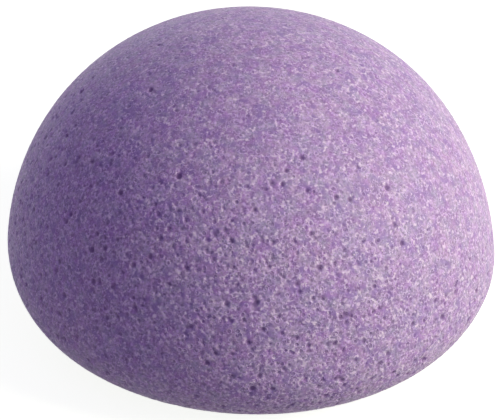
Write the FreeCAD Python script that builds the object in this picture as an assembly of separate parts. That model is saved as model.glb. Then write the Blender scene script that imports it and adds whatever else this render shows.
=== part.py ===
"""Half-ball face sponge, moulded in one piece from konjac foam.

The sponge is one soft casting and comes apart into nothing smaller. Its side is a ball that is cut
flat a little below its middle. The sharp edge of that cut is drawn in as one round arc, tangent to
the ball above and to the flat foot face below, so that the sponge stands on a foot narrower than
its widest level and no edge scratches the skin.

Frame: millimetres, +Z up through the crown, origin at the middle of the foot face.
"""

import FreeCAD, Part
import math
import os
from FreeCAD import Vector

# Driving dimensions, in millimetres
ball_radius = 40.2      # radius of the ball that the side belongs to
sponge_height = 48.0    # foot face up to the top of the crown
rim_radius = 11.0       # arc that draws the side in to the foot face

# The middle of the ball and the middle of the rim arc lie this high over the foot face
ball_middle = sponge_height - ball_radius
rim_middle = rim_radius

# Where ball and rim arc meet tangent, both middles and the meeting point are in one line.
# Its slope below level is the same for both arcs.
middles_apart = ball_radius - rim_radius
meeting_slope = math.asin((ball_middle - rim_middle) / middles_apart)

# The rim arc touches the foot face right under its middle, which gives the foot's radius
foot_radius = middles_apart * math.cos(meeting_slope)
widest_radius = max(foot_radius + rim_radius, ball_radius * math.cos(max(-meeting_slope, 0)))

crown_slope = math.pi / 2
foot_slope = -math.pi / 2
full_turn = 360


def arc_point(middle_out, middle_up, radius, slope):
    """Point of an arc in the XZ plane, seen from its middle at this slope above level."""
    out = middle_out + radius * math.cos(slope)
    up = middle_up + radius * math.sin(slope)
    return Vector(out, 0, up)


def arc(middle_out, middle_up, radius, first_slope, last_slope):
    """Edge along an arc in the XZ plane, from one slope to another."""
    halfway = (first_slope + last_slope) / 2
    points = [arc_point(middle_out, middle_up, radius, slope)
              for slope in (first_slope, halfway, last_slope)]
    return Part.Arc(*points).toShape()


def half_section():
    """Closed half section of the sponge: foot face, rim arc, ball, and back down the axis."""
    foot_middle = Vector(0, 0, 0)
    foot_edge = Vector(foot_radius, 0, 0)
    crown_top = Vector(0, 0, sponge_height)
    return Part.Wire([
        Part.makeLine(foot_middle, foot_edge),
        arc(foot_radius, rim_middle, rim_radius, foot_slope, -meeting_slope),
        arc(0, ball_middle, ball_radius, -meeting_slope, crown_slope),
        Part.makeLine(crown_top, foot_middle),
    ])


def make_sponge_body():
    """The whole casting, turned about its own axis."""
    axis_foot = Vector(0, 0, 0)
    axis_up = Vector(0, 0, 1)
    return Part.Face(half_section()).revolve(axis_foot, axis_up, full_turn)


def main():
    """Build the sponge, write it and print its sizes."""
    os.makedirs("parts", exist_ok=True)
    sponge_body = make_sponge_body()
    sponge_body.exportStep("parts/sponge_body.step")
    size = sponge_body.optimalBoundingBox()
    print(f"sponge_body: {size.XLength:.2f} x {size.YLength:.2f} x {size.ZLength:.2f} mm")
    print(f"widest radius {widest_radius:.2f} mm, foot radius {foot_radius:.2f} mm")
    print(f"volume {sponge_body.Volume:.0f} mm3, valid {sponge_body.isValid()}")


main()
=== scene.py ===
"""Looks of the half-ball konjac face sponge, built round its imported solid.

The foam is modelled as foam: the smooth turned form is laid out on a fine grid of voxels, gas cells
of three families are opened in its skin, and the surface of what is left becomes one closed mesh.
"""

import logging
import math
from dataclasses import dataclass, field
from enum import Enum

import bpy
import numpy as np
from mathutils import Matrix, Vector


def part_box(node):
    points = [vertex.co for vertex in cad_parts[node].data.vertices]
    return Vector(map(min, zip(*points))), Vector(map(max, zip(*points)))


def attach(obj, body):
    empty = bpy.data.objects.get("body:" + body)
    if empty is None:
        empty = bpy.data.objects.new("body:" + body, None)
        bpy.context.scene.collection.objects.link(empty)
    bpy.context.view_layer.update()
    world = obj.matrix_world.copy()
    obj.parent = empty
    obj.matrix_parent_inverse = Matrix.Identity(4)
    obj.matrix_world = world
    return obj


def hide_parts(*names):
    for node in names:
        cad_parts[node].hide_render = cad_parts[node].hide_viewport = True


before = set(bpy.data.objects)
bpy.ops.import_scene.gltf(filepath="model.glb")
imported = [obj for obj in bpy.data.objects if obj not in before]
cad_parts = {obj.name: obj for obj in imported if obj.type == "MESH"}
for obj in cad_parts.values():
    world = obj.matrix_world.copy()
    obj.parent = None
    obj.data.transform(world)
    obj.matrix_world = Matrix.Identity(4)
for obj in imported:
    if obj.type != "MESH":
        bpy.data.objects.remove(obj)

import openvdb
from mathutils import Quaternion, Vector

log = logging.getLogger("konjac_sponge")

MILLIMETRE = 0.001
GOLDEN_ANGLE = math.pi * (3 - math.sqrt(5))
QUARTER_TURN = math.pi / 2
QUAD_CORNERS = 4
CHART_COLUMNS = 3
CHART_ROWS = 2
BAKE_MAP = "OFBake"

Colour = tuple[float, float, float]
Span = tuple[float, float]
Socket = bpy.types.NodeSocket


class SkinData(Enum):
    """Numbers that the mesh carries at each point for the foam's finish to read.

    The first two are in millimetres. The last is 1 where the skin is calm and 0 where it is open.
    """

    DEPTH = "depth_in_cell"
    GAP = "gap_to_cell"
    CALM = "calm_skin"


def way_to(azimuth: float, elevation: float) -> tuple[float, float, float]:
    """Find the unit way that points to an azimuth and an elevation.

    Args:
        azimuth: angle from +X towards +Y, in degrees.
        elevation: angle over level, in degrees.

    Returns:
        Its x, y and z.
    """
    turn, slope = math.radians(azimuth), math.radians(elevation)
    return math.cos(turn) * math.cos(slope), math.sin(turn) * math.cos(slope), math.sin(slope)


def smooth_field(points: np.ndarray, wave: float, seed: int, terms: int = 9,
                 spread: Span = (0.7, 1.5)) -> np.ndarray:
    """Smooth random field over space, mostly between -1 and 1.

    Args:
        points: rows of x, y and z.
        wave: usual length of the field's waves, in the points' unit.
        seed: starting number of the random draws.
        terms: number of plane waves added up.
        spread: shortest and longest wave, as shares of the usual one.

    Returns:
        The field's value at each point.
    """
    rng = np.random.default_rng(seed)
    ways = rng.standard_normal((terms, 3))
    ways /= np.linalg.norm(ways, axis=1)[:, None]
    lengths = wave * rng.uniform(*spread, terms)
    starts = rng.uniform(0, 2 * math.pi, terms)
    turns = points @ (2 * math.pi * ways / lengths[:, None]).T + starts
    return np.sin(turns).sum(axis=1) * math.sqrt(1 / terms)


def eased(values: np.ndarray, low: float, high: float) -> np.ndarray:
    """Smooth step from 0 at low to 1 at high."""
    share = np.clip((values - low) / (high - low), 0, 1)
    return share * share * (3 - 2 * share)


@dataclass
class SpongeForm:
    """Smooth turned form of the sponge, in metres.

    The side is a ball cut flat below its middle, and one arc draws the edge of the cut in to the
    foot face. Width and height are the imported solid's own. slope_step is the distance over which
    slopes are measured, and skin_rounds how often a point is moved to end on the skin.
    """

    widest_radius: float
    height: float
    rim_radius: float = 11.0 * MILLIMETRE
    outline_steps: int = 900
    slope_step: float = 0.01 * MILLIMETRE
    skin_rounds: int = 3

    @classmethod
    def from_frame(cls) -> "SpongeForm":
        """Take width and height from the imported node."""
        low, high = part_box("sponge_body")
        return cls(widest_radius=(high.x - low.x) / 2, height=high.z)

    @property
    def foot_radius(self) -> float:
        """Radius of the flat foot face, and of the circle that the rim arc's middle runs on."""
        return self.widest_radius - self.rim_radius

    @property
    def ball_radius(self) -> float:
        """Radius of the ball that touches the crown and meets the rim arc tangent."""
        above_rim = self.height - 2 * self.rim_radius
        return (self.height + self.foot_radius ** 2 / above_rim) / 2

    @property
    def ball_middle(self) -> float:
        """Height of the ball's middle over the foot face."""
        return self.height - self.ball_radius

    @property
    def meeting_slope(self) -> float:
        """Angle over level, seen from either middle, at which ball and rim arc meet."""
        return math.atan2(self.rim_radius - self.ball_middle, self.foot_radius)

    def depth(self, out: np.ndarray, up: np.ndarray) -> np.ndarray:
        """Depth under the smooth skin, in metres, and negative outside it.

        Args:
            out: distances from the axis.
            up: heights over the foot face.

        Returns:
            The depths, of the same shape.
        """
        under_ball = self.ball_radius - np.hypot(out, up - self.ball_middle)
        past_foot = out - self.foot_radius
        over_rim = up - self.rim_radius
        under_rim = self.rim_radius - np.hypot(past_foot, over_rim)
        below_meeting = np.arctan2(over_rim, past_foot) < self.meeting_slope
        return np.where((past_foot > 0) & below_meeting, under_rim, np.minimum(under_ball, up))

    def outline(self) -> tuple[np.ndarray, np.ndarray, np.ndarray]:
        """Points from the crown over the side to the middle of the foot face.

        Returns:
            Distances from the axis, heights, and the area of skin from the crown to each point.
        """
        ball = np.linspace(QUARTER_TURN, self.meeting_slope, self.outline_steps)
        rim = np.linspace(self.meeting_slope, -QUARTER_TURN, self.outline_steps)
        foot = np.linspace(self.foot_radius, 0, self.outline_steps)
        out = np.concatenate([self.ball_radius * np.cos(ball),
                              self.foot_radius + self.rim_radius * np.cos(rim), foot])
        up = np.concatenate([self.ball_middle + self.ball_radius * np.sin(ball),
                             self.rim_radius + self.rim_radius * np.sin(rim), 0 * foot])
        strips = math.pi * (out[1:] + out[:-1]) * np.hypot(np.diff(out), np.diff(up))
        return out, up, np.concatenate([[0.0], np.cumsum(strips)])

    def onto_skin(self, points: np.ndarray) -> tuple[np.ndarray, np.ndarray]:
        """Move points that lie near the smooth skin onto it.

        Args:
            points: rows of x, y and z.

        Returns:
            The moved points, and the skin's outward normals there.
        """
        step = self.slope_step
        out = np.maximum(np.hypot(points[:, 0], points[:, 1]), step)
        up = points[:, 2]
        around = points[:, :2] / out[:, None]
        for _ in range(self.skin_rounds):
            depth = self.depth(out, up)
            outward = (depth - self.depth(out + step, up)) / step
            upward = (depth - self.depth(out, up + step)) / step
            out = np.abs(out + depth * outward)
            up = up + depth * upward
        moved = np.column_stack([out[:, None] * around, up])
        return moved, np.column_stack([outward[:, None] * around, upward])


@dataclass(frozen=True)
class CellFamily:
    """Gas cells of one size, opened where the skin cuts them.

    Radii are in metres, and with a large small_bias most cells are small. A cell's middle lies
    sink times its radius under the skin, so a negative sink leaves a shallow dimple. scatter is
    how far a cell may stray from an even pattern, in spacings. calm_share and bare_share are the
    shares of cells left on the calm side of the skin and in the barest patches.
    """

    name: str
    count: int
    radius_min: float
    radius_max: float
    small_bias: float
    sink_min: float
    sink_max: float
    scatter: float
    calm_share: float
    bare_share: float
    seed: int


CELL_FAMILIES = (
    CellFamily("grain", count=44000, radius_min=0.22 * MILLIMETRE, radius_max=0.34 * MILLIMETRE,
               small_bias=1.0, sink_min=-0.95, sink_max=-0.82, scatter=0.9,
               calm_share=0.8, bare_share=0.8, seed=3),
    CellFamily("small", count=18000, radius_min=0.22 * MILLIMETRE, radius_max=0.38 * MILLIMETRE,
               small_bias=1.4, sink_min=-0.88, sink_max=-0.60, scatter=0.9,
               calm_share=0.35, bare_share=0.7, seed=5),
    CellFamily("large", count=7200, radius_min=0.34 * MILLIMETRE, radius_max=0.65 * MILLIMETRE,
               small_bias=2.0, sink_min=-0.86, sink_max=-0.58, scatter=1.0,
               calm_share=0.02, bare_share=0.7, seed=8),
)


@dataclass
class Cells:
    """Open cells as arrays: middles, radii, and the axes along which they are drawn out."""

    middles: np.ndarray
    radii: np.ndarray
    axes: np.ndarray


@dataclass
class CellSower:
    """Strews families of cells over the skin.

    One side of the crown is the calmest. calm_way points to its middle, and calm_from and
    calm_full are the least share of that way in a normal for the calm to begin and to be full.
    Elsewhere cells crowd in patches, in metres across, as a smooth field goes from busy_from to
    busy_full.
    """

    form: SpongeForm
    calm_way: tuple[float, float, float] = (0.24, 0.44, 0.865)
    calm_from: float = 0.0
    calm_full: float = 0.62
    patch: float = 7 * MILLIMETRE
    busy_from: float = -0.9
    busy_full: float = 0.6

    def calm(self, normals: np.ndarray) -> np.ndarray:
        """How calm the skin is, 0 to 1, where it has these outward normals."""
        return eased(normals @ np.array(self.calm_way), self.calm_from, self.calm_full)

    def strew(self, family: CellFamily) -> Cells:
        """Place the cells of one family.

        Args:
            family: sizes and shares of the family.

        Returns:
            Its cells, all cut by the skin.
        """
        rng = np.random.default_rng(family.seed)
        out, up, area = self.form.outline()
        number = np.arange(family.count)
        reached = (number + 0.5) * area[-1] / family.count
        turn = number * GOLDEN_ANGLE
        ring = np.interp(reached, area, out)
        points = np.column_stack([ring * np.cos(turn), ring * np.sin(turn),
                                  np.interp(reached, area, up)])
        spacing = math.sqrt(area[-1] / family.count)
        points += rng.uniform(-family.scatter, family.scatter, points.shape) * spacing
        points, normals = self.form.onto_skin(points)
        calm = self.calm(normals)
        field_values = smooth_field(points, self.patch, family.seed)
        busy = eased(field_values, self.busy_from, self.busy_full)
        chance = ((1 + (family.calm_share - 1) * calm)
                  * (family.bare_share + (1 - family.bare_share) * busy))
        kept = rng.random(family.count) < chance
        points, normals = points[kept], normals[kept]
        share = rng.random(len(points)) ** family.small_bias
        radii = family.radius_min + (family.radius_max - family.radius_min) * share
        sink = rng.uniform(family.sink_min, family.sink_max, len(points)) * radii
        axes = rng.standard_normal(points.shape)
        axes /= np.linalg.norm(axes, axis=1)[:, None]
        return Cells(points - normals * sink[:, None], radii, axes)


@dataclass
class FoamGrid:
    """Depth inside the foam on a regular grid of voxels, in metres.

    values holds the depth under the skin, and gaps the distance to the nearest cell's wall, which
    is negative inside a cell. Neither is followed beyond band. margin is in voxels, draw_out is
    how far cells are drawn out along their axes, and chunk is the number of cells noted at once.
    """

    form: SpongeForm
    voxel: float = 0.20 * MILLIMETRE
    band: float = 0.9 * MILLIMETRE
    margin: int = 6
    row_steps: int = 4
    draw_out: float = 0.35
    chunk: int = 1500
    lip_width: float = 0.14 * MILLIMETRE
    lip_height: float = 0.02 * MILLIMETRE
    noise_side: int = 96
    noise_wave: float = 0.45 * MILLIMETRE
    noise_depth: float = 0.007 * MILLIMETRE
    values: np.ndarray = field(init=False)
    gaps: np.ndarray = field(init=False)
    origin: np.ndarray = field(init=False)

    def __post_init__(self) -> None:
        """Lay the smooth form out on the grid."""
        half = math.ceil(self.form.widest_radius / self.voxel) + self.margin
        layers = math.ceil(self.form.height / self.voxel) + 2 * self.margin
        # Half a voxel off the foot face keeps that face's own plane off the grid's points
        self.origin = np.array([-half, -half, 0.5 - self.margin]) * self.voxel
        across = (np.arange(2 * half + 1) - half) * self.voxel
        out = np.hypot(across[:, None], across[None, :])
        steps = np.arange(0.0, out.max() + self.voxel, self.voxel / self.row_steps)
        self.values = np.empty(out.shape + (layers,), np.float32)
        for layer in range(layers):
            up = self.origin[2] + layer * self.voxel
            row = np.clip(self.form.depth(steps, np.full_like(steps, up)), -self.band, self.band)
            self.values[:, :, layer] = np.interp(out, steps, row)
        self.gaps = np.full_like(self.values, self.band)

    @property
    def lip_end(self) -> float:
        """Distance from a cell's wall at which its lip has run out."""
        return 2 * self.lip_width

    def open_cells(self, cells: Cells) -> None:
        """Note the cells of one family, to be cut later.

        Args:
            cells: the cells of one family.
        """
        drawn_out = 1 / math.sqrt(1 - self.draw_out)
        reach = math.ceil((cells.radii.max() * drawn_out + self.lip_end) / self.voxel) + 1
        steps = np.arange(-reach, reach + 1)
        block = np.stack(np.meshgrid(steps, steps, steps, indexing="ij"), axis=-1).reshape(-1, 3)
        limits = np.array(self.gaps.shape)
        flat = self.gaps.reshape(-1)
        for start in range(0, len(cells.radii), self.chunk):
            part = slice(start, start + self.chunk)
            middles = cells.middles[part]
            near = np.rint((middles - self.origin) / self.voxel).astype(int)
            rest = (self.origin + near * self.voxel - middles).astype(np.float32)
            away = rest[:, None, :] + (block * self.voxel).astype(np.float32)
            along = np.einsum("ijk,ik->ij", away, cells.axes[part].astype(np.float32))
            squares = np.einsum("ijk,ijk->ij", away, away) - self.draw_out * along ** 2
            gap = np.sqrt(squares) - cells.radii[part][:, None].astype(np.float32)
            spots = near[:, None, :] + block[None]
            inside = ((spots >= 0) & (spots < limits)).all(axis=2) & (gap < self.lip_end)
            places = np.ravel_multi_index(tuple(spots[inside].T), self.gaps.shape)
            np.minimum.at(flat, places, gap[inside])

    def cut(self) -> None:
        """Raise a thin lip of skin round each cell's mouth, and take the cells out of the foam."""
        lip = self.lip_height * np.exp(-(self.gaps / self.lip_width) ** 2)
        self.values = np.minimum(self.values + lip, self.gaps)

    def roughen(self, seed: int = 21) -> None:
        """Make skin and cell walls a little uneven, with a repeating block of smooth noise.

        Args:
            seed: starting number of the random draws.
        """
        side = self.noise_side
        noise = np.random.default_rng(seed).standard_normal((side, side, side))
        waves = np.fft.fftfreq(side, self.voxel)
        square = waves[:, None, None] ** 2 + waves[None, :, None] ** 2 + waves[None, None, :] ** 2
        kept = np.exp(-square * self.noise_wave ** 2)
        noise = np.fft.ifftn(np.fft.fftn(noise) * kept).real
        noise = (noise / noise.std() * self.noise_depth).astype(np.float32)
        rows, columns, layers = (np.arange(size) % side for size in self.values.shape)
        for layer in range(self.values.shape[2]):
            self.values[:, :, layer] += noise[:, :, layers[layer]][rows][:, columns]

    def gaps_at(self, points: np.ndarray) -> np.ndarray:
        """Read the gaps between the grid's points.

        Args:
            points: rows of x, y and z.

        Returns:
            Distance from each point to the nearest cell's wall, in metres.
        """
        place = (points - self.origin) / self.voxel
        base = np.floor(place).astype(int)
        share = place - base
        found = np.zeros(len(points))
        for corner in np.ndindex(2, 2, 2):
            weight = np.where(corner, share, 1 - share).prod(axis=1)
            found += weight * self.gaps[tuple((base + corner).T)]
        return found

    def surface(self) -> tuple[np.ndarray, np.ndarray]:
        """Mesh the boundary between foam and air.

        Returns:
            Points in metres, and quads as rows of four point numbers.
        """
        grid = openvdb.FloatGrid(float(self.band))
        grid.copyFromArray(np.clip(-self.values, -self.band, self.band))
        points, quads = grid.convertToQuads(0.0)
        return self.origin + points.astype(float) * self.voxel, quads.astype(np.int64)


@dataclass
class FoamSkin:
    """Closed quad mesh of the foam's surface, before it goes to Blender."""

    points: np.ndarray
    quads: np.ndarray

    def keep_largest(self) -> None:
        """Drop crumbs and closed bubbles that hang on nothing."""
        labels = np.arange(len(self.points))
        while True:
            lowest = labels[self.quads].min(axis=1)
            spread = labels.copy()
            for corner in range(QUAD_CORNERS):
                np.minimum.at(spread, self.quads[:, corner], lowest)
            spread = spread[spread]
            if (spread == labels).all():
                break
            labels = spread
        kept = labels == np.bincount(labels).argmax()
        renumbered = np.cumsum(kept) - 1
        self.quads = renumbered[self.quads[kept[self.quads[:, 0]]]]
        self.points = self.points[kept]

    def charts(self, middle: np.ndarray, margin: float = 0.012) -> np.ndarray:
        """Lay the skin out flat as the six sides of a cube round a middle point.

        Args:
            middle: point that the skin is seen from.
            margin: empty edge of a chart, as a share of the chart.

        Returns:
            Place of each corner of each quad in the unit square.
        """
        corners = self.points[self.quads] - middle
        middles = corners.mean(axis=1)
        axis = np.abs(middles).argmax(axis=1)[:, None]
        facing = np.sign(np.take_along_axis(middles, axis, axis=1))
        ahead, across, over = (
            np.take_along_axis(corners, ((axis + turn) % 3)[:, :, None], axis=2)[:, :, 0]
            for turn in range(3))
        angles = np.stack([np.arctan2(across * facing, np.abs(ahead)),
                           np.arctan2(over, np.abs(ahead))], axis=2)
        spread = 0.5 + angles / QUARTER_TURN * (1 - 2 * margin)
        row = (facing < 0).astype(int)
        return np.stack([(axis + spread[:, :, 0]) / CHART_COLUMNS,
                         (row + spread[:, :, 1]) / CHART_ROWS], axis=2)

    def to_mesh(self, name: str) -> bpy.types.Mesh:
        """Write the skin to a Blender mesh with smooth faces.

        Args:
            name: the mesh's name.

        Returns:
            The mesh.
        """
        mesh = bpy.data.meshes.new(name)
        mesh.vertices.add(len(self.points))
        mesh.vertices.foreach_set("co", self.points.astype(np.float32).ravel())
        mesh.loops.add(self.quads.size)
        mesh.loops.foreach_set("vertex_index", self.quads.astype(np.int32).ravel())
        mesh.polygons.add(len(self.quads))
        starts = np.arange(0, self.quads.size, QUAD_CORNERS, dtype=np.int32)
        mesh.polygons.foreach_set("loop_start", starts)
        mesh.update(calc_edges=True)
        mesh.shade_smooth()
        return mesh


class Tone(Enum):
    """Tones of the moist gel, in linear red, green and blue; some also stand for painted shade and
    painted highlights.
    """

    LAVENDER = (0.50, 0.34, 0.62)
    BLUISH = (0.40, 0.315, 0.66)
    PINKISH = (0.59, 0.35, 0.60)
    VIOLET = (0.40, 0.245, 0.54)
    MAUVE = (0.61, 0.455, 0.69)
    VIVID = (0.53, 0.275, 0.69)
    GREYISH = (0.44, 0.39, 0.60)
    INDIGO = (0.34, 0.215, 0.55)
    # Darker flecks of the gel, and painted shade inside small bowls
    DARK_FLECK_AND_SHADE = (0.25, 0.155, 0.36)
    # Deeper purple of the gel in a cell, darkened further as painted shade
    DEEP_TINT_AND_SHADE = (0.21, 0.11, 0.30)
    # Pale flecks of the gel, and painted highlight on the rings of small bowls
    PALE_FLECK_AND_HIGHLIGHT = (0.76, 0.56, 0.93)
    # Painted glint: a highlight of the moist skin laid into the colour
    PAINTED_GLINT = (0.92, 0.76, 1.0)


class Joined(Enum):
    """Ways in which a finish joins two values."""

    PRODUCT = "MULTIPLY"
    DIFFERENCE = "SUBTRACT"


@dataclass(frozen=True)
class Noise:
    """Smooth noise, about 0.25 to 0.75 in value, with features of one size in metres."""

    size: float
    detail: float = 2.0
    roughness: float = 0.5


@dataclass(frozen=True)
class Wash:
    """Tone laid over the foam as a value runs through reach, from its first end to its second.

    share is how much of the tone lies on the foam at the second end.
    """

    reach: Span
    share: float
    tone: Tone


@dataclass(frozen=True)
class Mottle:
    """Noise, and the washes that follow it."""

    noise: Noise
    washes: tuple[Wash, ...]


@dataclass(frozen=True)
class PaintedBowls:
    """Small bowls laid into the colour: painted shade inside them and broken rings of painted
    highlight round them.

    size is their mean distance, in metres.
    """

    size: float
    inside: Wash
    ring: Wash
    breaks: Noise


class FinishNodes:
    """Adds shader nodes to one material and links them.

    The spans of bubbles and rings are distances from a bubble's middle, as shares of the mean
    distance between two bubbles. The spans of strength are random values, one for each bubble or
    speck.
    """

    BUBBLE_STRENGTH: Span = (0.25, 0.75)
    BUBBLE_INSIDE: Span = (0.38, 0.22)
    RING_INNER_EDGE: Span = (0.36, 0.41)
    RING_OUTER_EDGE: Span = (0.51, 0.45)
    SPECK_STRENGTH: Span = (0.55, 0.75)
    # The mix node has sockets for values of several kinds, and these are the ones for colours
    MIX_BASE = 6
    MIX_OVER = 7
    MIX_RESULT = 2

    def __init__(self, name: str) -> None:
        """Make the material with an empty node tree.

        Args:
            name: the material's name.
        """
        self.material = bpy.data.materials.new(name)
        self.material.use_nodes = True
        self.tree = self.material.node_tree
        self.tree.nodes.clear()
        coordinates = self.tree.nodes.new("ShaderNodeTexCoord")
        self.place = coordinates.outputs["Object"]

    def link(self, source: Socket, target: Socket) -> None:
        """Link an output to an input."""
        self.tree.links.new(source, target)

    def noise(self, noise: Noise) -> Socket:
        """Add a noise.

        Args:
            noise: its size and detail.

        Returns:
            The noise's value.
        """
        node = self.tree.nodes.new("ShaderNodeTexNoise")
        node.inputs["Scale"].default_value = 1 / noise.size
        node.inputs["Detail"].default_value = noise.detail
        node.inputs["Roughness"].default_value = noise.roughness
        self.link(self.place, node.inputs["Vector"])
        return node.outputs["Fac"]

    def scattered(self, size: float) -> tuple[Socket, Socket]:
        """Scatter points at random.

        Args:
            size: mean distance between points, in metres.

        Returns:
            The distance to the nearest point as a share of size, and a random value of that point.
        """
        node = self.tree.nodes.new("ShaderNodeTexVoronoi")
        node.inputs["Scale"].default_value = 1 / size
        self.link(self.place, node.inputs["Vector"])
        return node.outputs["Distance"], node.outputs["Color"]

    def bubbles(self, size: float) -> tuple[Socket, Socket]:
        """Add scattered bubbles: 1 in their middles, and 1 on the rings round them.

        Args:
            size: mean distance between bubbles, in metres.

        Returns:
            The share of inside and the share of ring, both weaker in some bubbles.
        """
        away, chance = self.scattered(size)
        strength = self.span(chance, self.BUBBLE_STRENGTH)
        inside = self.join(Joined.PRODUCT, self.span(away, self.BUBBLE_INSIDE), strength)
        ring = self.join(Joined.PRODUCT, self.span(away, self.RING_INNER_EDGE),
                         self.span(away, self.RING_OUTER_EDGE))
        return inside, self.join(Joined.PRODUCT, ring, strength)

    def specks(self, size: float, radius: float) -> Socket:
        """Add small round spots, each of its own strength and half of them missing.

        Args:
            size: mean distance between spots, in metres.
            radius: radius of a spot, as a share of size.

        Returns:
            The share of spot.
        """
        away, chance = self.scattered(size)
        strength = self.span(chance, self.SPECK_STRENGTH)
        return self.join(Joined.PRODUCT, self.span(away, (radius, radius / 2)), strength)

    def skin_data(self, data: SkinData) -> Socket:
        """Read what the mesh carries.

        Args:
            data: which of its numbers.

        Returns:
            The number at each point.
        """
        node = self.tree.nodes.new("ShaderNodeAttribute")
        node.attribute_name = data.value
        return node.outputs["Fac"]

    def span(self, value: Socket, source: Span, target: Span = (0.0, 1.0)) -> Socket:
        """Map a value from one range to another, held at the ends.

        Args:
            value: what is mapped.
            source: the range that it comes from.
            target: the range that it goes to.

        Returns:
            The mapped value.
        """
        node = self.tree.nodes.new("ShaderNodeMapRange")
        node.inputs["From Min"].default_value, node.inputs["From Max"].default_value = source
        node.inputs["To Min"].default_value, node.inputs["To Max"].default_value = target
        self.link(value, node.inputs["Value"])
        return node.outputs["Result"]

    def join(self, kind: Joined, first: Socket, second: Socket) -> Socket:
        """Join two values.

        Args:
            kind: how they are joined.
            first: the first of them.
            second: the second of them.

        Returns:
            The joined value.
        """
        node = self.tree.nodes.new("ShaderNodeMath")
        node.operation = kind.value
        self.link(first, node.inputs[0])
        self.link(second, node.inputs[1])
        return node.outputs["Value"]

    def mix(self, share: Socket, base: Socket | Tone, over: Tone) -> Socket:
        """Lay a tone over a colour.

        Args:
            share: how much of the tone shows.
            base: the colour below.
            over: the tone.

        Returns:
            The mixed colour.
        """
        node = self.tree.nodes.new("ShaderNodeMix")
        node.data_type = "RGBA"
        self.link(share, node.inputs["Factor"])
        below = node.inputs[self.MIX_BASE]
        if isinstance(base, Tone):
            below.default_value = (*base.value, 1.0)
        else:
            self.link(base, below)
        node.inputs[self.MIX_OVER].default_value = (*over.value, 1.0)
        return node.outputs[self.MIX_RESULT]

    def wash(self, colour: Socket | Tone, value: Socket, wash: Wash,
             thinned: Socket | None = None) -> Socket:
        """Lay a wash over a colour.

        Args:
            colour: what the wash is laid over.
            value: what the wash follows.
            wash: its reach, share and tone.
            thinned: share of the wash that is left, if it is thinned.

        Returns:
            The washed colour.
        """
        amount = self.span(value, wash.reach, (0.0, wash.share))
        if thinned is not None:
            amount = self.join(Joined.PRODUCT, amount, thinned)
        return self.mix(amount, colour, wash.tone)

    def mottle(self, colour: Socket | Tone, mottle: Mottle,
               thinned: Socket | None = None) -> tuple[Socket, Socket]:
        """Lay all washes of a mottle over a colour.

        Args:
            colour: what they are laid over.
            mottle: the noise and its washes.
            thinned: share of each wash that is left, if they are thinned.

        Returns:
            The washed colour and the mottle's noise.
        """
        noise = self.noise(mottle.noise)
        for wash in mottle.washes:
            colour = self.wash(colour, noise, wash, thinned)
        return colour, noise


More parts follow.
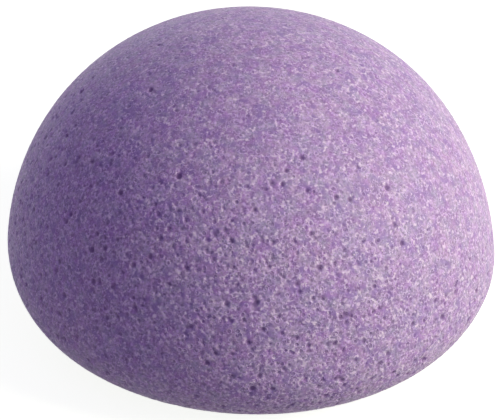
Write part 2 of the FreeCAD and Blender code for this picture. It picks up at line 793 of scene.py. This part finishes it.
@dataclass(frozen=True)
class FoamFinish:
    """Moist lavender konjac foam: tinted gel, partly painted shade deep in cells, painted glints on
    lips and in specks.

    Sizes are in metres, but spans of depth in a cell and of gap to a cell are in millimetres, as
    the mesh carries them. The calm shares are what is left of the fizz and the painted bowls, and
    of the relief, where the skin is calm.
    """

    base: Tone = Tone.LAVENDER
    mottles: tuple[Mottle, ...] = (
        Mottle(Noise(9 * MILLIMETRE, 3.0, 0.6),
               (Wash((0.5, 0.7), 0.8, Tone.PINKISH), Wash((0.5, 0.3), 0.9, Tone.BLUISH))),
        Mottle(Noise(1.9 * MILLIMETRE, 1.0),
               (Wash((0.48, 0.66), 0.9, Tone.VIVID), Wash((0.52, 0.34), 0.9, Tone.GREYISH))),
        Mottle(Noise(2.8 * MILLIMETRE, 3.0, 0.6),
               (Wash((0.5, 0.7), 0.9, Tone.MAUVE), Wash((0.5, 0.3), 0.9, Tone.VIOLET))),
        Mottle(Noise(1.1 * MILLIMETRE, 3.0, 0.6),
               (Wash((0.5, 0.7), 0.9, Tone.MAUVE), Wash((0.5, 0.3), 0.9, Tone.VIOLET))),
    )
    clear_gel: Mottle = Mottle(Noise(1.5 * MILLIMETRE, roughness=0.6),
                               (Wash((0.47, 0.36), 0.7, Tone.INDIGO),))
    fizz: Mottle = Mottle(Noise(0.41 * MILLIMETRE),
                          (Wash((0.52, 0.66), 0.88, Tone.PALE_FLECK_AND_HIGHLIGHT),
                           Wash((0.48, 0.34), 0.60, Tone.DARK_FLECK_AND_SHADE)))
    fizzy_gel: Span = (0.40, 0.56)
    fizz_shares: Span = (0.18, 1.0)
    # Small bowls with painted shade inside and painted highlight on their rings
    painted_bowls: tuple[PaintedBowls, ...] = (
        PaintedBowls(0.85 * MILLIMETRE, inside=Wash((0.0, 1.0), 0.45, Tone.DARK_FLECK_AND_SHADE),
              ring=Wash((0.0, 1.0), 1.0, Tone.PALE_FLECK_AND_HIGHLIGHT), breaks=Noise(0.85 * MILLIMETRE, 1.0)),
        PaintedBowls(0.44 * MILLIMETRE, inside=Wash((0.0, 1.0), 0.55, Tone.DARK_FLECK_AND_SHADE),
              ring=Wash((0.0, 1.0), 1.0, Tone.PALE_FLECK_AND_HIGHLIGHT), breaks=Noise(0.44 * MILLIMETRE, 1.0)),
    )
    calm_fizz_and_bowls: float = 0.8
    ring_breaks: Span = (0.44, 0.56)
    lip_gap: Span = (0.09, 0.02)
    lip_depth: Span = (0.08, 0.02)
    # Painted glints along the lips at the mouths of cells
    painted_lip_glints: Mottle = Mottle(Noise(0.6 * MILLIMETRE, roughness=0.6),
                          (Wash((0.53, 0.60), 0.8, Tone.PAINTED_GLINT),))
    speck_size: float = 0.7 * MILLIMETRE
    speck_radius: float = 0.22
    # Painted glints in small bright specks
    painted_speck_glint: Wash = Wash((0.0, 1.0), 0.9, Tone.PAINTED_GLINT)
    # Deep in a cell the gel is a deeper purple and darker, partly its own tint and partly painted
    # shade
    cell_tint_and_shade: Wash = Wash((0.05, 0.25), 0.80, Tone.DEEP_TINT_AND_SHADE)
    moisture: Noise = Noise(0.704 * MILLIMETRE, roughness=0.6)
    moisture_span: Span = (0.35, 0.65)
    roughness: Span = (0.38, 0.62)
    relief_size: float = 0.85 * MILLIMETRE
    relief_depth: float = 0.04 * MILLIMETRE
    calm_relief: float = 0.4
    gloss: float = 0.18
    glow: float = 0.5
    glow_tint: Colour = (1.0, 0.8, 1.2)
    glow_reach: float = 0.45 * MILLIMETRE

    @staticmethod
    def opened(nodes: FinishNodes, on_calm: float) -> Socket:
        """Find how open the skin is.

        Args:
            nodes: the material's nodes.
            on_calm: value where the skin is calm.

        Returns:
            A value that is 1 where the skin is open.
        """
        return nodes.span(nodes.skin_data(SkinData.CALM), (0.0, 1.0), (1.0, on_calm))

    def gel_colour(self, nodes: FinishNodes) -> Socket:
        """Lay out the gel with its tints, its fizz, and the painted shade and highlights of small
        bowls.

        Args:
            nodes: the material's nodes.

        Returns:
            The gel's colour.
        """
        colour = self.base
        for mottle in self.mottles:
            colour, _ = nodes.mottle(colour, mottle)
        colour, gel = nodes.mottle(colour, self.clear_gel)
        opened = self.opened(nodes, self.calm_fizz_and_bowls)
        fizzy = nodes.span(gel, self.fizzy_gel, self.fizz_shares)
        colour, _ = nodes.mottle(colour, self.fizz, nodes.join(Joined.PRODUCT, fizzy, opened))
        # Painted shade inside small bowls and painted highlight on their broken rings
        for bowls in self.painted_bowls:
            inside, ring = nodes.bubbles(bowls.size)
            inside = nodes.join(Joined.PRODUCT, inside, opened)
            colour = nodes.wash(colour, inside, bowls.inside)
            unbroken = nodes.span(nodes.noise(bowls.breaks), self.ring_breaks)
            colour = nodes.wash(colour, nodes.join(Joined.PRODUCT, ring, unbroken), bowls.ring)
        return colour

    def colour(self, nodes: FinishNodes) -> Socket:
        """Lay out the foam's colour: the gel, painted glints on the lips and in specks, and deep
        cells darker partly as painted shade.

        Args:
            nodes: the material's nodes.

        Returns:
            The foam's colour.
        """
        depth = nodes.skin_data(SkinData.DEPTH)
        gap = nodes.skin_data(SkinData.GAP)
        # Where painted glints lie: on the thin lips at the mouths of cells
        lip = nodes.join(Joined.PRODUCT, nodes.span(gap, self.lip_gap),
                         nodes.span(depth, self.lip_depth))
        colour, _ = nodes.mottle(self.gel_colour(nodes), self.painted_lip_glints, lip)
        # Painted glints in small bright specks
        specks = nodes.specks(self.speck_size, self.speck_radius)
        colour = nodes.wash(colour, specks, self.painted_speck_glint)
        # Darker deep in cells: partly the gel's deeper tint, partly painted shade
        return nodes.wash(colour, depth, self.cell_tint_and_shade)

    def make(self) -> bpy.types.Material:
        """Build the finish.

        Returns:
            The material.
        """
        nodes = FinishNodes("konjac_foam")
        shader = nodes.tree.nodes.new("ShaderNodeBsdfPrincipled")
        output = nodes.tree.nodes.new("ShaderNodeOutputMaterial")
        nodes.link(shader.outputs["BSDF"], output.inputs["Surface"])
        nodes.link(self.colour(nodes), shader.inputs["Base Color"])
        moisture = nodes.noise(self.moisture)
        roughness = nodes.span(moisture, self.moisture_span, self.roughness)
        nodes.link(roughness, shader.inputs["Roughness"])
        inside, ring = nodes.bubbles(self.relief_size)
        height = nodes.join(Joined.PRODUCT, nodes.join(Joined.DIFFERENCE, ring, inside),
                            self.opened(nodes, self.calm_relief))
        bump = nodes.tree.nodes.new("ShaderNodeBump")
        bump.inputs["Strength"].default_value = 1.0
        bump.inputs["Distance"].default_value = self.relief_depth
        nodes.link(height, bump.inputs["Height"])
        nodes.link(bump.outputs["Normal"], shader.inputs["Normal"])
        shader.inputs["Specular IOR Level"].default_value = self.gloss
        shader.inputs["Subsurface Weight"].default_value = self.glow
        shader.inputs["Subsurface Radius"].default_value = self.glow_tint
        shader.inputs["Subsurface Scale"].default_value = self.glow_reach
        return nodes.material


@dataclass(frozen=True)
class Swell:
    """Place where the wet foam stands out of round, or lies below it, in metres and degrees."""

    azimuth: float
    elevation: float
    reach: float
    height: float


SWELLS = (
    Swell(azimuth=176.0, elevation=5.0, reach=24.0, height=-0.42 * MILLIMETRE),
    Swell(azimuth=192.0, elevation=-15.0, reach=14.0, height=-0.45 * MILLIMETRE),
    Swell(azimuth=12.0, elevation=20.0, reach=16.0, height=-0.35 * MILLIMETRE),
    Swell(azimuth=-7.0, elevation=-8.0, reach=9.0, height=0.50 * MILLIMETRE),
    Swell(azimuth=90.0, elevation=57.0, reach=25.0, height=-0.20 * MILLIMETRE),
)


@dataclass
class SpongeBody:
    """The sponge as one casting of open foam.

    fill is how much of its solid the padded piece fills, and it is not used. chart_height is the
    height of the point that the bake map is seen from, and swells fade out from steady_height down
    to the foot face.
    """

    form: SpongeForm
    finish: FoamFinish = FoamFinish()
    families: tuple[CellFamily, ...] = CELL_FAMILIES
    swells: tuple[Swell, ...] = SWELLS
    fill: float = 1.0
    chart_height: float = 20.0 * MILLIMETRE
    steady_height: float = 6.0 * MILLIMETRE

    def open_foam(self, sower: CellSower) -> FoamGrid:
        """Cut all cells into the smooth form.

        Args:
            sower: places the cells.

        Returns:
            The grid of the open foam.
        """
        grid = FoamGrid(self.form)
        for family in self.families:
            cells = sower.strew(family)
            grid.open_cells(cells)
            log.info("cells of family %s: %d", family.name, len(cells.radii))
        grid.cut()
        grid.roughen()
        return grid

    def warped(self, points: np.ndarray) -> np.ndarray:
        """Press the turned form slightly out of round, and leave the foot face flat.

        Args:
            points: rows of x, y and z.

        Returns:
            The moved points.
        """
        outward = points - np.array([0.0, 0.0, self.form.ball_middle])
        outward /= np.linalg.norm(outward, axis=1)[:, None]
        lift = np.zeros(len(points))
        for swell in self.swells:
            way = np.array(way_to(swell.azimuth, swell.elevation))
            angle = np.degrees(np.arccos(np.clip(outward @ way, -1, 1)))
            lift += swell.height * np.exp(-0.5 * (angle / swell.reach) ** 2)
        lift *= eased(points[:, 2], 0.0, self.steady_height)
        return points + lift[:, None] * outward

    def measure(self, points: np.ndarray, grid: FoamGrid,
                sower: CellSower) -> dict[SkinData, np.ndarray]:
        """Measure what the finish reads.

        Args:
            points: the mesh's points, before the form is pressed out of round.
            grid: the open foam.
            sower: knows where the skin is calm.

        Returns:
            One number at each point for each kind of data.
        """
        out = np.hypot(points[:, 0], points[:, 1])
        return {
            SkinData.DEPTH: self.form.depth(out, points[:, 2]) / MILLIMETRE,
            SkinData.GAP: grid.gaps_at(points) / MILLIMETRE,
            SkinData.CALM: sower.calm(self.form.onto_skin(points)[1]),
        }

    def build(self) -> bpy.types.Object:
        """Open the cells, mesh the foam and dress it.

        Returns:
            The sponge's object.
        """
        sower = CellSower(self.form)
        grid = self.open_foam(sower)
        skin = FoamSkin(*grid.surface())
        skin.keep_largest()
        measured = self.measure(skin.points, grid, sower)
        skin.points = self.warped(skin.points)
        mesh = skin.to_mesh("konjac_sponge")
        chart_middle = np.array([0.0, 0.0, self.chart_height])
        bake_map = mesh.uv_layers.new(name=BAKE_MAP)
        bake_map.data.foreach_set("uv", skin.charts(chart_middle).astype(np.float32).ravel())
        for data, values in measured.items():
            attribute = mesh.attributes.new(data.value, "FLOAT", "POINT")
            attribute.data.foreach_set("value", values.astype(np.float32))
        mesh.materials.append(self.finish.make())
        sponge = bpy.data.objects.new("konjac_sponge", mesh)
        bpy.context.scene.collection.objects.link(sponge)
        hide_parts("sponge_body")
        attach(sponge, "root")
        return sponge


@dataclass
class StudioCamera:
    """Camera in front of the sponge, a little above it, in metres and degrees.

    sensor_width and lens are in millimetres.
    """

    target: tuple[float, float, float] = (-0.109 * MILLIMETRE, 0.0, 15.61 * MILLIMETRE)
    distance: float = 281.4 * MILLIMETRE
    elevation: float = 33.0
    roll: float = 2.146
    sensor_width: float = 36.0
    lens: float = 124.16

    def build(self) -> bpy.types.Object:
        """Place the camera and make it the scene's own.

        Returns:
            The camera's object.
        """
        data = bpy.data.cameras.new("studio_camera")
        data.sensor_fit = "HORIZONTAL"
        data.sensor_width = self.sensor_width
        data.lens = self.lens
        camera = bpy.data.objects.new("studio_camera", data)
        bpy.context.scene.collection.objects.link(camera)
        slope = math.radians(self.elevation)
        back = Vector((0.0, -math.cos(slope), math.sin(slope)))
        aim = back.to_track_quat("Z", "Y")
        turn = Quaternion((0.0, 0.0, 1.0), math.radians(self.roll))
        camera.rotation_mode = "QUATERNION"
        camera.rotation_quaternion = aim @ turn
        camera.location = Vector(self.target) + self.distance * back
        bpy.context.scene.camera = camera
        return camera


@dataclass(frozen=True)
class SoftBox:
    """One large soft lamp that looks at the sponge, in metres, degrees and watts."""

    name: str
    azimuth: float
    elevation: float
    distance: float
    width: float
    height: float
    power: float
    colour: Colour

    def build(self, target: Vector) -> bpy.types.Object:
        """Hang the lamp and turn it to its target.

        Args:
            target: point that the lamp looks at.

        Returns:
            The lamp's object.
        """
        data = bpy.data.lights.new(self.name, "AREA")
        data.shape = "RECTANGLE"
        data.size = self.width
        data.size_y = self.height
        data.energy = self.power
        data.color = self.colour
        lamp = bpy.data.objects.new(self.name, data)
        bpy.context.scene.collection.objects.link(lamp)
        way = Vector(way_to(self.azimuth, self.elevation))
        lamp.location = target + self.distance * way
        lamp.rotation_mode = "QUATERNION"
        lamp.rotation_quaternion = way.to_track_quat("Z", "Y")
        return lamp


@dataclass
class Studio:
    """Pale floor, plain surroundings and soft lamps.

    floor_lift is what the camera sees of the floor besides the light that falls on it, and
    surroundings is the strength of the light from all round.
    """

    floor_radius: float = 3.0
    floor_corners: int = 96
    floor_colour: Colour = (0.42, 0.42, 0.42)
    floor_lift: Colour = (0.885, 0.90, 0.86)
    surroundings: float = 0.286
    surroundings_colour: Colour = (0.675, 0.575, 1.0)
    key: SoftBox = SoftBox("key_softbox", azimuth=-12.0, elevation=30.5, distance=0.8,
                           width=0.3, height=0.6, power=6.15, colour=(0.985, 1.0, 0.75))
    back: SoftBox = SoftBox("back_softbox", azimuth=112.0, elevation=10.0, distance=0.8,
                            width=0.5, height=0.5, power=0.6, colour=(1.0, 0.98, 0.95))

    @staticmethod
    def seen(tree: bpy.types.NodeTree) -> Socket:
        """Make a switch that is 1 for the camera, for reflections and through glass.

        Args:
            tree: node tree that gets the switch.

        Returns:
            The switch's value.
        """
        rays = tree.nodes.new("ShaderNodeLightPath")
        switch = rays.outputs["Is Camera Ray"]
        for ray in ("Is Glossy Ray", "Is Transmission Ray"):
            larger = tree.nodes.new("ShaderNodeMath")
            larger.operation = "MAXIMUM"
            tree.links.new(switch, larger.inputs[0])
            tree.links.new(rays.outputs[ray], larger.inputs[1])
            switch = larger.outputs["Value"]
        return switch

    def floor_finish(self) -> bpy.types.Material:
        """Make plain paper that looks nearly white and still takes the sponge's shadow.

        Returns:
            The material.
        """
        material = bpy.data.materials.new("studio_floor")
        material.use_nodes = True
        tree = material.node_tree
        tree.nodes.clear()
        paper = tree.nodes.new("ShaderNodeBsdfDiffuse")
        paper.inputs["Color"].default_value = (*self.floor_colour, 1.0)
        glow = tree.nodes.new("ShaderNodeEmission")
        glow.inputs["Color"].default_value = (*self.floor_lift, 1.0)
        both = tree.nodes.new("ShaderNodeAddShader")
        output = tree.nodes.new("ShaderNodeOutputMaterial")
        for source, target in (
            (self.seen(tree), glow.inputs["Strength"]),
            (paper.outputs["BSDF"], both.inputs[0]),
            (glow.outputs["Emission"], both.inputs[1]),
            (both.outputs["Shader"], output.inputs["Surface"]),
        ):
            tree.links.new(source, target)
        return material

    def build_floor(self) -> bpy.types.Object:
        """Lay the floor under the foot face.

        Returns:
            The floor's object.
        """
        mesh = bpy.data.meshes.new("studio_floor")
        corners = self.floor_corners
        ring = [(self.floor_radius * math.cos(2 * math.pi * i / corners),
                 self.floor_radius * math.sin(2 * math.pi * i / corners), 0.0)
                for i in range(corners)]
        mesh.from_pydata(ring, [], [range(corners)])
        mesh.materials.append(self.floor_finish())
        floor = bpy.data.objects.new("studio_floor", mesh)
        bpy.context.scene.collection.objects.link(floor)
        return floor

    def build_surroundings(self) -> None:
        """Make even faint light from all round, seen as white."""
        world = bpy.data.worlds.new("studio")
        bpy.context.scene.world = world
        world.use_nodes = True
        tree = world.node_tree
        light = tree.nodes["Background"]
        light.inputs["Color"].default_value = (*self.surroundings_colour, 1.0)
        light.inputs["Strength"].default_value = self.surroundings
        white = tree.nodes.new("ShaderNodeBackground")
        white.inputs["Color"].default_value = (1.0, 1.0, 1.0, 1.0)
        choice = tree.nodes.new("ShaderNodeMixShader")
        for source, target in (
            (self.seen(tree), choice.inputs[0]),
            (light.outputs["Background"], choice.inputs[1]),
            (white.outputs["Background"], choice.inputs[2]),
            (choice.outputs["Shader"], tree.nodes["World Output"].inputs["Surface"]),
        ):
            tree.links.new(source, target)

    def build(self, target: Vector) -> None:
        """Set up floor, surroundings and lamps.

        Args:
            target: point that the lamps look at.
        """
        self.build_floor()
        self.build_surroundings()
        for lamp in (self.key, self.back):
            lamp.build(target)
            log.info("%s: %.2f W", lamp.name, lamp.power)
        bpy.context.scene.view_settings.view_transform = "Standard"


def main() -> None:
    """Build the sponge, the studio and the camera."""
    logging.basicConfig(level=logging.INFO, format="%(name)s: %(message)s")
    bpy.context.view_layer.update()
    form = SpongeForm.from_frame()
    sponge = SpongeBody(form).build()
    log.info("%s: %d points, %d faces", sponge.name, len(sponge.data.vertices),
             len(sponge.data.polygons))
    StudioCamera().build()
    Studio().build(Vector((0.0, 0.0, form.height / 2)))


if __name__ == "__main__":
    main()
